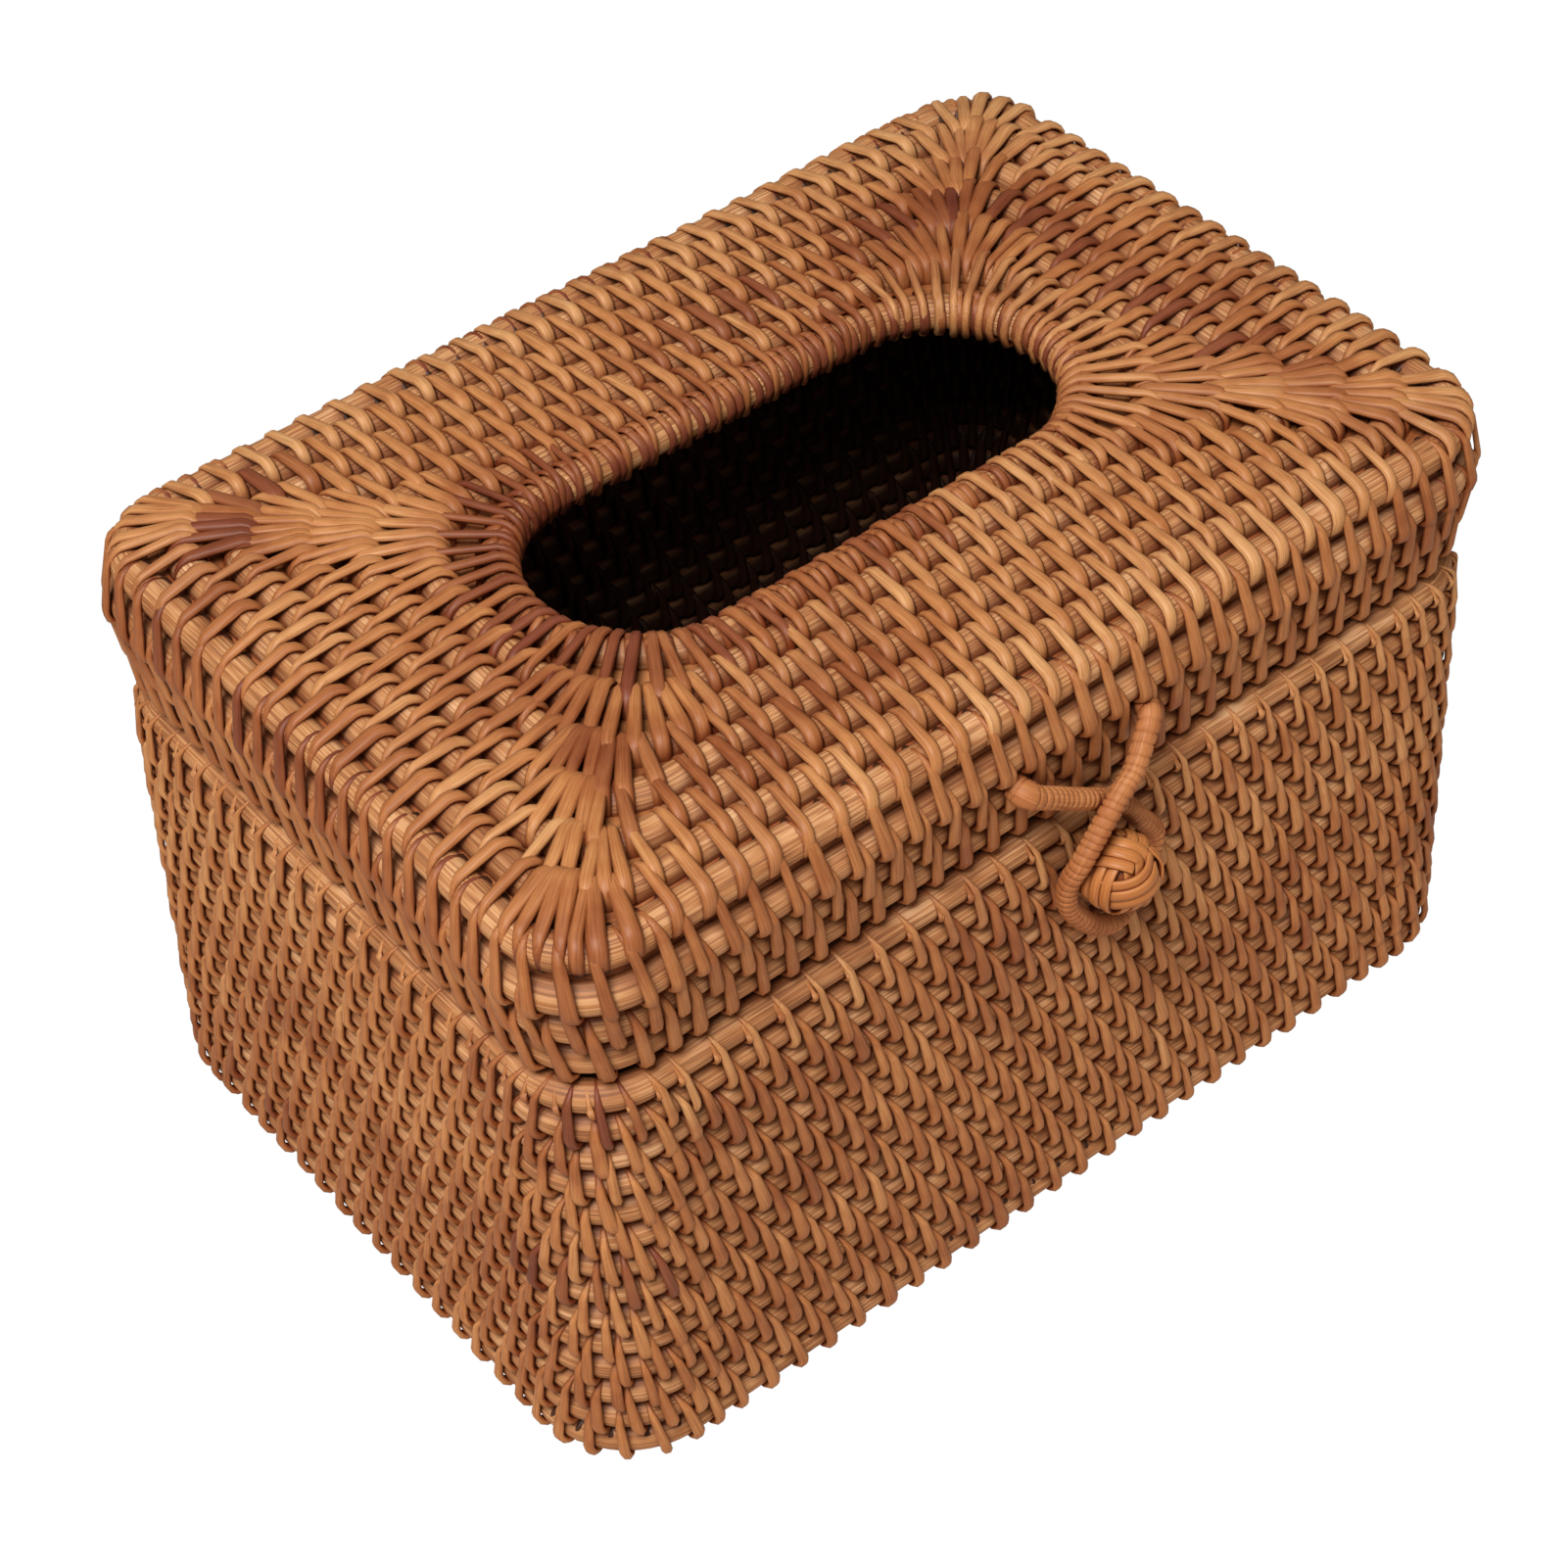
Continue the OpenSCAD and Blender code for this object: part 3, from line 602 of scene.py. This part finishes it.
# From the slot outwards: the spacing round the bends, how far the stitches turn with the rows
# there, and how close they are drawn to the mitre
bend_steps, fans = (4.4, 3.8, 3.4, 3.4, 3.4, 3.4), (1.0, 0.5, 0.1, 0.0, 0.0, 0.0)
crowds, slant_apart = (1.0, 1.0, 0.82, 0.82, 0.82, 0.82), 0.03
top_rows, side_rows = [], []
for i, (inner, outer) in enumerate(zip(lid_canes, lid_canes[1:])):
    row = {"start": inner, "end": outer, "inside_z": 105, "seed": 300 + i, "thick": 1.45, "dark": 0.015}
    if i < len(fans):
        steps, drifts = (7.6, 7.5, 7.8, 7.8), (3.9 * i, 3.6 * i, 4.1 * i, 3.8 * i)
        places = stitch_places(inner, outer, steps, drifts, bend_steps[i], fans[i], slant_apart, crowds[i])
        row["width"] = lambda t: 3.1 + 0.9 * np.abs(t[:, 0] * t[:, 1])
        # on the back and the left the stitches come up at the outer gap, so that all bow the same way
        row["flip"] = lambda t: t[:, 0] + t[:, 1] < 0
        row["lean"] = lambda t: np.where(t[:, 0] > 0, -1.5, 1.0) * t[:, 0] + 0.9 * t[:, 1]
        row["bow"] = lambda t: 0.7 * t[:, 0] + 0.9 * t[:, 1]
        row["hook"] = lambda t: 0.8 * t[:, 1]
        top_rows.append(row)
    else:
        places = stitch_places(inner, outer, (7.3,) * 4, (4.0 * i,) * 4, 6.0)
        # painted shade: the side rows get darker strands than the top rows, so that the lid's sides look
        # darker than its top
        row.update(width=3.0, lean=2.2, tuck=0.5, shade=lambda p: (0.0, 0.62))
        side_rows.append(row)
    row["s_start"], row["s_end"] = places


def at_pale_end(p):
    """Whether places lie on the front right or the right end of the slot, where the strands are pale."""
    return (p[:, 0] > 8) & (p[:, 1] < 0) | (p[:, 0] > 48)


top_rows[0].update(
    proud=0.6, taper=0.2,
    width=lambda t: 2.2 + 0.35 * t[:, 0],
    lean=lambda t: 0.9 * t[:, 1] - 0.5 * t[:, 0],
    shade=lambda p: (np.where(at_pale_end(p), 0.5, 0.0), np.where(at_pale_end(p), 1.0, 0.16)),
)

# Slot wraps. Between the stitches of the lid's first row thin dark strands of cane
# skin go round the slot's rim alone and cover it.
slot_row = dict(
    top_rows[0], taper=0, dive=0, proud=0.3, width=2.0, thick=0.8, lean=0.6, tuck=0.2, hook=0, bow=0,
    seed=350, flip=None, towards=lambda t: np.cross(t, [0.0, 0.0, 1.0]),
    shade=lambda p: (0.0, np.where(at_pale_end(p), 0.4, 0.16)),
)
wrap_spacing = 2.5
starts = np.sort(slot_row["s_start"])
spaces = np.diff(np.append(starts, starts[0] + row_stops(slot_row["start"])[-1]))
between = []
for s_from, space in zip(starts, spaces):
    wraps = max(round(space / wrap_spacing) - 1, 1)
    between += [s_from + space * (i + 1) / (wraps + 1) for i in range(wraps)]
slot_row["end"] = slot_row["start"]
slot_row["s_start"] = slot_row["s_end"] = np.array(between)
stitches("slot_wraps", "lid", [slot_row])
tucked_ends("lid_tucked_ends", "lid", lid_canes)
stitches("lid_top_lashing", "lid", top_rows, ["lid_lashing"])
stitches("lid_side_lashing", "lid", side_rows)


# Closure loop. A cord tightly wound with a narrow strip of cane skin, whose two ends
# go in between two canes of the lid. It crosses itself and hangs over the ball.
def swept(name, body, material, line, up, section, closed):
    """A piece with its section carried along a line, in millimetres, and turned so that up lies up."""
    ahead = np.roll(line, -1, 0) - np.roll(line, 1, 0)
    if not closed:
        ahead[0], ahead[-1] = line[1] - line[0], line[-1] - line[-2]
    ahead /= np.linalg.norm(ahead, axis=1)[:, None]
    up = up - (up * ahead).sum(1)[:, None] * ahead
    up /= np.linalg.norm(up, axis=1)[:, None]
    lengths = np.concatenate([[0], np.cumsum(np.linalg.norm(np.diff(line, axis=0), axis=1))])
    bm = bmesh.new()
    bm.verts.layers.float_vector.new("weave")
    tube(bm, line, np.cross(ahead, up), up, section, lengths, 0.5, closed)
    return woven(name, bm, body, material)


ball_low, ball_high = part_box("knot_ball")
ball = (ball_low + ball_high) / 2 / MM
ball_d = (ball_high.x - ball_low.x) / MM
cord_d, lashing_thick = 4.1, 1.0
lid_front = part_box("lid_side_coil_1")[0].y / MM - lashing_thick
# the ends enter the lid on the line about which the loop swings
loop_swing = next(joint for joint in frame["joints"] if joint["name"] == "loop_swing")
root_y, root_z = (value / MM for value in loop_swing["pos_m"][1:])
drop = root_z - ball.z
# How the loop runs from its left end to its right: across in ball diameters, out
# in cord diameters, and down as a share of the drop to the ball
route_shares = [
    (-1.10, 0.40, 0.04), (-0.58, 0.55, 0.24), (0.27, 0.38, 0.60), (0.68, 0.31, 0.91), (0.93, 0.35, 1.15),
    (0.82, 0.42, 1.37), (0.62, 0.52, 1.58), (0.34, 0.62, 1.72), (0.06, 0.66, 1.69), (-0.24, 0.67, 1.53),
    (-0.46, 0.70, 1.34), (-0.57, 0.79, 1.17), (-0.60, 1.04, 0.97), (-0.53, 1.47, 0.78), (-0.39, 1.57, 0.64),
    (0.03, 1.50, 0.35), (0.34, 1.16, 0.26), (0.58, 0.72, 0.12), (0.77, 0.28, 0.00),
]
left_end_share, right_end_share = -1.18, 0.88
route = [(ball.x + ball_d * left_end_share, root_y, root_z)]
route += [(ball.x + ball_d * a, lid_front - cord_d * b, root_z - drop * c) for a, b, c in route_shares]
route = np.array(route + [(ball.x + ball_d * right_end_share, root_y, root_z)])
# an even, smooth line through the points
before = np.vstack([2 * route[0] - route[1], route, 2 * route[-1] - route[-2]])
t = np.linspace(0, 1, 40, endpoint=False)[:, None]
fine = []
for p0, p1, p2, p3 in zip(before, before[1:], before[2:], before[3:]):
    slope, curve, twist = p2 - p0, 2 * p0 - 5 * p1 + 4 * p2 - p3, 3 * p1 - p0 - 3 * p2 + p3
    fine.append(0.5 * (2 * p1 + slope * t + curve * t**2 + twist * t**3))
fine = np.vstack(fine + [route[-1:]])
walked = np.concatenate([[0], np.cumsum(np.linalg.norm(np.diff(fine, axis=0), axis=1))])
total, ring_step = walked[-1], 0.2
at = np.linspace(0, total, round(total / ring_step))
line = np.stack([np.interp(at, walked, fine[:, k]) for k in range(3)], 1)
ahead = np.gradient(line, axis=0)
ahead /= np.linalg.norm(ahead, axis=1)[:, None]
up = np.empty_like(line)
up[0] = (0, 0, 1)
for i in range(len(line)):
    last = up[max(i - 1, 0)]
    up[i] = last - (last @ ahead[i]) * ahead[i]
    up[i] /= np.linalg.norm(up[i])
# where the turns of the strip begin: two broad turns at the left end, and wider ones again near the right
rng = np.random.default_rng(7)
turn_pitch, end_pitch, end_length, pitch_spread, past_end = 1.8, 2.4, 14, 0.28, 2
edges = [0.0, 2.4, 5.3]
while edges[-1] < total + past_end:
    pitch = turn_pitch if edges[-1] < total - end_length else end_pitch
    edges.append(edges[-1] + rng.normal(pitch, pitch_spread))
edges = np.array(edges)
# the strip climbs a little as it goes round, and each turn is crowned, with a groove before the next
section_points, climb = 14, 0.99
around = np.arange(section_points) / section_points * 2 * math.pi
spot = at[:, None] + climb * (around - np.sin(around)) / (2 * math.pi)
turn_no = (np.searchsorted(edges, spot, side="right") - 1).clip(0, len(edges) - 2)
turn_start, turn_end = edges[turn_no], edges[turn_no + 1]
share = (spot - turn_start) / (turn_end - turn_start)
edge_gap = np.minimum(spot - turn_start, turn_end - spot).clip(0, None)
thick_at, thick = [0, 2.4, 4.8, 6.2, 22, total - 12, total], [2.5, 2.95, 2.85, 2.4, 2.25, 2.25, 2.5]
crown, groove = 0.12 * np.sin(np.pi * share.clip(0, 1)), 0.32 * np.exp(-((edge_gap / 0.16) ** 2))
radius = np.interp(at, thick_at, thick)[:, None] + crown - groove
section = np.stack([radius * np.cos(around), radius * np.sin(around)], 2)
# Cane skin wound on the cord: a warmer honey tan than the lashing, and duller
loop_cane = skin_material("cane_binding_of_loop", "#754228", "#A4683E", "#B67C4E", "#C59262", 0.6)
loop_piece = swept("wound_loop", "loop", loop_cane, line, up, section, False)
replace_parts(loop_piece, "closure_loop")

# Ball. A Turk's head knot, three strands of flat cane braided round a small
# core, each strand three plies wide. It sits on a cane tie out of the wall.
leads, bights, plies = 3, 4, 3
ply_width, ply_pitch, steps = 2.5, 0.97, 420
# how far a strand swings to the poles, and how far it lies under the surface and dips over and under
swing_up, strand_depth, dip, core_depth = math.radians(62), 1.0, 0.55, 1.9
along_knot = np.linspace(0, 2 * math.pi * leads, steps, endpoint=False)
swing = along_knot * bights / leads
tilt = swing_up * np.sin(swing)
depth = ball_d / 2 - strand_depth + dip * np.sin(2 * swing)
pole = Vector((0.55, -0.45, 0.75)).normalized()
side_a = pole.orthogonal().normalized()
side_b = pole.cross(side_a)
pole, side_a, side_b, centre = (np.array(v) for v in (pole, side_a, side_b, ball))
equator = np.cos(along_knot)[:, None] * side_a + np.sin(along_knot)[:, None] * side_b
out = np.cos(tilt)[:, None] * equator + np.sin(tilt)[:, None] * pole
middle_line = centre + out * depth[:, None]
sideways = np.cross(out, np.roll(middle_line, -1, 0) - np.roll(middle_line, 1, 0))
sideways /= np.linalg.norm(sideways, axis=1)[:, None]
# Flat rattan cane, smoother than the lashing: a deeper, redder tan with a satin sheen
knot_cane = skin_material("flat_cane_of_ball", "#85502C", "#A86A38", "#BC7F4A", "#CC9A66", 0.45)
# a ply's section: across in widths, and up in millimetres
ply_section = np.array(
    [(-0.5, 0.0), (-0.46, 0.5), (-0.15, 0.6), (0.15, 0.6), (0.46, 0.5), (0.5, 0.0), (0.0, -0.1)]
)
for ply in range(plies):
    spokes = middle_line + sideways * (ply - (plies - 1) / 2) * ply_width * ply_pitch - centre
    ring = centre + spokes / np.linalg.norm(spokes, axis=1)[:, None] * depth[:, None]
    section = np.repeat((ply_section * [ply_width, 1.0])[None], steps, 0)
    swept(f"ball_ply_{ply + 1}", "base", knot_cane, ring, out, section, True)
core = bmesh.new()
weave = core.verts.layers.float_vector.new("weave")
bmesh.ops.create_uvsphere(core, u_segments=24, v_segments=14, radius=(ball_d / 2 - core_depth) * MM)
bmesh.ops.translate(core, verts=core.verts, vec=ball * MM)
for vertex in core.verts:
    vertex[weave] = (0.0, 0.0, 0.3)
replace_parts(woven("ball_core", core, "base", knot_cane), "knot_ball")

# Ties. The lid hangs on two hinge ties at the back, and the ball on a third: flat
# cane skin, bound round the canes.
tie_cane, tree, shader = new_material("flat_tie_cane", Roughness=0.45, IOR=1.5)
# Flat cane, scraped thin: a reddish tan with a satin sheen and fine lines
fibres_a_metre = (1500, 90, 90)  # 0.67 mm apart and 11 mm long
place = add(tree, "ShaderNodeTexCoord").outputs["Object"]
stretched = add(tree, "ShaderNodeMapping", None, {"Vector": place, "Scale": fibres_a_metre}).outputs[0]
fibre = add(tree, "ShaderNodeTexNoise", None, {"Vector": stretched, "Scale": 1.0, "Detail": 3.0})
tans = ((0.3, "#7E4A28"), (0.5, "#A9693A"), (0.7, "#C08550"))
fibre_colour = add(tree, "ShaderNodeValToRGB", None, {"Fac": fibre.outputs["Fac"]}, tans).outputs["Color"]
tree.links.new(fibre_colour, shader.inputs["Base Color"])
for name in ("hinge_tie_left", "hinge_tie_right", "knot_tie"):
    frame["nodes"][name].data.materials.clear()
    frame["nodes"][name].data.materials.append(tie_cane)


# Floor and light. A plain pale table under soft daylight from above and the
# left, with a weak fill from the camera's side.
def white_to_camera(tree, shown, lit, output):
    """Shows the camera an even white, and lets the same surface light the box as it is."""
    seen = add(tree, "ShaderNodeLightPath").outputs["Is Camera Ray"]
    both = add(tree, "ShaderNodeMixShader", None, {0: seen, 1: lit, 2: shown.outputs[0]})
    tree.links.new(both.outputs[0], tree.nodes[output].inputs["Surface"])


table_width, under_box = 6, 0.0005
bpy.ops.mesh.primitive_plane_add(size=table_width, location=(0, 0, -under_box))
floor = bpy.context.active_object
floor.name = "floor"
# A matt painted table: pale and warm, so that it lights the walls from below
floor_material, tree, shader = new_material("pale_table", Roughness=0.8)
shader.inputs["Base Color"].default_value = linear("#DCC8B4")
white = add(tree, "ShaderNodeEmission", None, {"Color": linear("#FFFFFF")})
white_to_camera(tree, white, shader.outputs["BSDF"], "Material Output")
floor.data.materials.append(floor_material)

world = bpy.data.worlds.new("world")
bpy.context.scene.world = world
world.use_nodes = True
tree = world.node_tree
room = tree.nodes["Background"]
room.inputs["Color"].default_value = linear("#F6E4D0")
room.inputs["Strength"].default_value = 0.2
white = add(tree, "ShaderNodeBackground", None, {"Color": linear("#FFFFFF"), "Strength": 1.0})
white_to_camera(tree, white, room.outputs[0], "World Output")


def soft_light(name, place, size, power, colour):
    """A square softbox aimed at the upper half of the box."""
    aim = Vector((0, 0, 0.07))
    data = bpy.data.lights.new(name, "AREA")
    data.size, data.energy, data.color = size, power, linear(colour)[:3]
    light = bpy.data.objects.new(name, data)
    bpy.context.collection.objects.link(light)
    light.location = place
    light.rotation_euler = (aim - Vector(place)).to_track_quat("-Z", "Y").to_euler()


soft_light("window", place=(-0.68, -0.42, 1.45), size=0.6, power=33.5, colour="#FFFBF4")
soft_light("fill", place=(0.5, -1.2, 0.7), size=0.9, power=1.1, colour="#FFE6CC")
